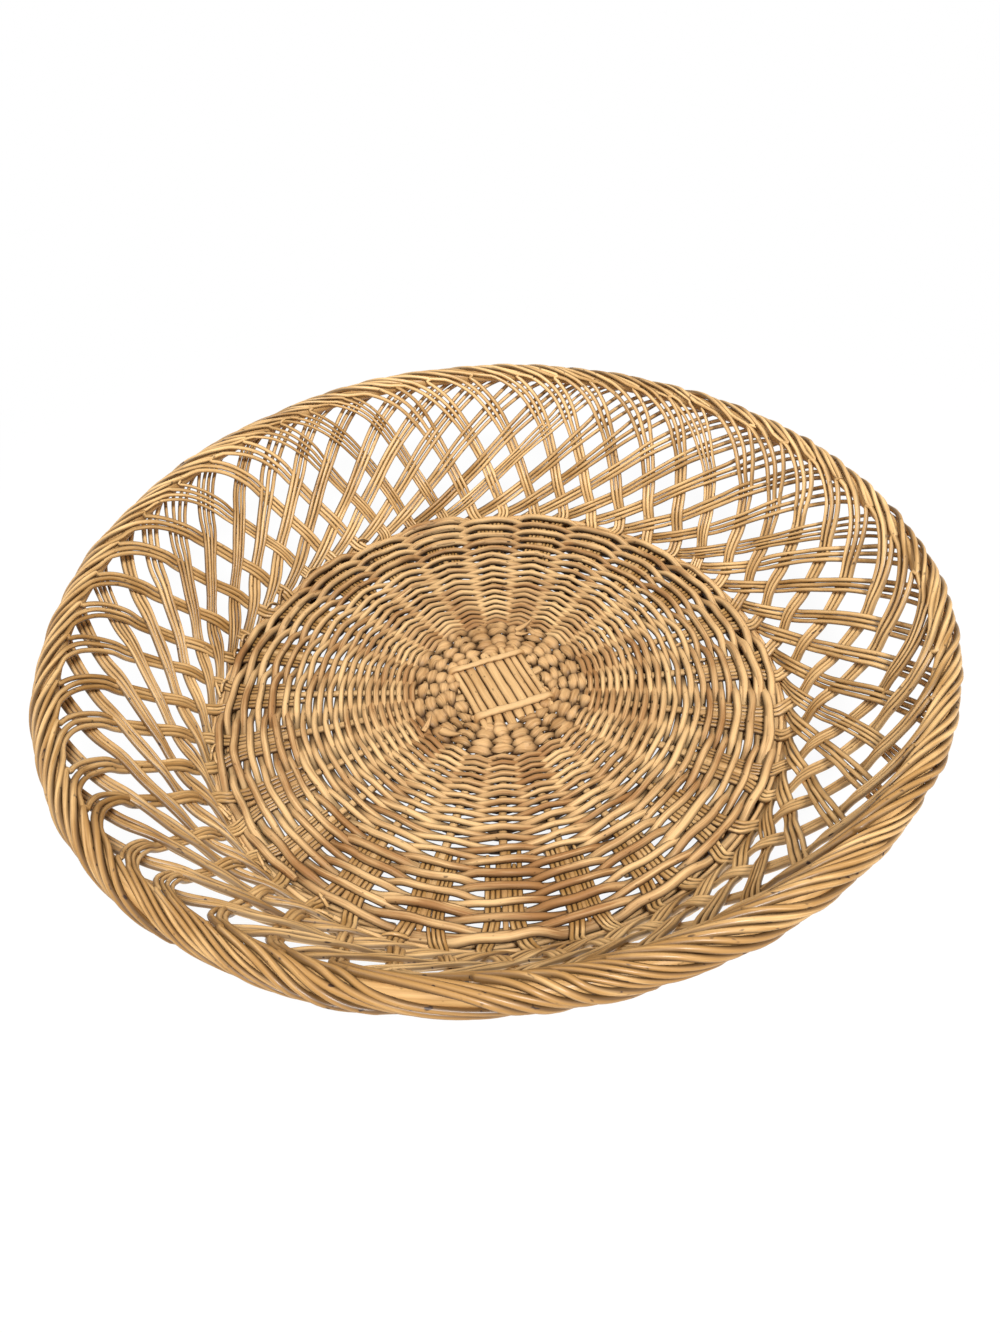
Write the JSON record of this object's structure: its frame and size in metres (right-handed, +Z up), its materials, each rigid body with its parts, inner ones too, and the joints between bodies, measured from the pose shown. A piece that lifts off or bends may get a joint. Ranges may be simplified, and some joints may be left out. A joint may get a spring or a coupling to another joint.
{
  "type": "rattan basket",
  "caption": "Shallow round openwork basket with a flat woven base, a flared lattice wall of cane bundles and a rolled rim, for fruit or bread.",
  "frame": {"origin": "centre of the foot ring's underside, on the surface the basket stands on", "axes": "+Z up through the open top; -Y is the side nearest the viewer in the picture, +X is to its right"},
  "size_m": [0.4502, 0.4502, 0.1098],
  "materials": {
    "wall_cane": "satin",
    "hoop_rod": "satin",
    "foot_border": "satin",
    "base_stick": "matte",
    "tie_peel": "satin",
    "collar_peel": "satin",
    "base_rod": "matte"
  },
  "bodies": {
    "root": {"rim_hoop": "hoop_rod", "foot_ring": "foot_border", "cross_sticks_upper": "base_stick", "cross_sticks_lower": "base_stick", "cross_tie_front": "tie_peel", "cross_tie_back": "tie_peel", "peel_strand_1": "collar_peel", "peel_strand_2": "collar_peel", "base_weaver_1": "base_rod", "base_weaver_2": "base_rod", "lattice_bundle_01": "wall_cane", "lattice_bundle_02": "wall_cane", "lattice_bundle_03": "wall_cane", "lattice_bundle_04": "wall_cane", "lattice_bundle_05": "wall_cane", "lattice_bundle_06": "wall_cane", "lattice_bundle_07": "wall_cane", "lattice_bundle_08": "wall_cane", "lattice_bundle_09": "wall_cane", "lattice_bundle_10": "wall_cane", "lattice_bundle_11": "wall_cane", "lattice_bundle_12": "wall_cane", "lattice_bundle_13": "wall_cane", "lattice_bundle_14": "wall_cane", "lattice_bundle_15": "wall_cane", "lattice_bundle_16": "wall_cane", "lattice_bundle_17": "wall_cane", "lattice_bundle_18": "wall_cane", "lattice_bundle_19": "wall_cane", "lattice_bundle_20": "wall_cane", "lattice_bundle_21": "wall_cane", "lattice_bundle_22": "wall_cane", "lattice_bundle_23": "wall_cane", "lattice_bundle_24": "wall_cane", "lattice_bundle_25": "wall_cane", "lattice_bundle_26": "wall_cane", "lattice_bundle_27": "wall_cane", "lattice_bundle_28": "wall_cane", "lattice_bundle_29": "wall_cane", "lattice_bundle_30": "wall_cane", "lattice_bundle_31": "wall_cane", "lattice_bundle_32": "wall_cane", "lattice_bundle_33": "wall_cane", "lattice_bundle_34": "wall_cane", "lattice_bundle_35": "wall_cane", "lattice_bundle_36": "wall_cane", "lattice_bundle_37": "wall_cane", "lattice_bundle_38": "wall_cane", "lattice_bundle_39": "wall_cane", "lattice_bundle_40": "wall_cane", "lattice_bundle_41": "wall_cane", "lattice_bundle_42": "wall_cane", "lattice_bundle_43": "wall_cane", "lattice_bundle_44": "wall_cane", "lattice_bundle_45": "wall_cane", "lattice_bundle_46": "wall_cane", "lattice_bundle_47": "wall_cane", "lattice_bundle_48": "wall_cane"}
  },
  "joints": []
}
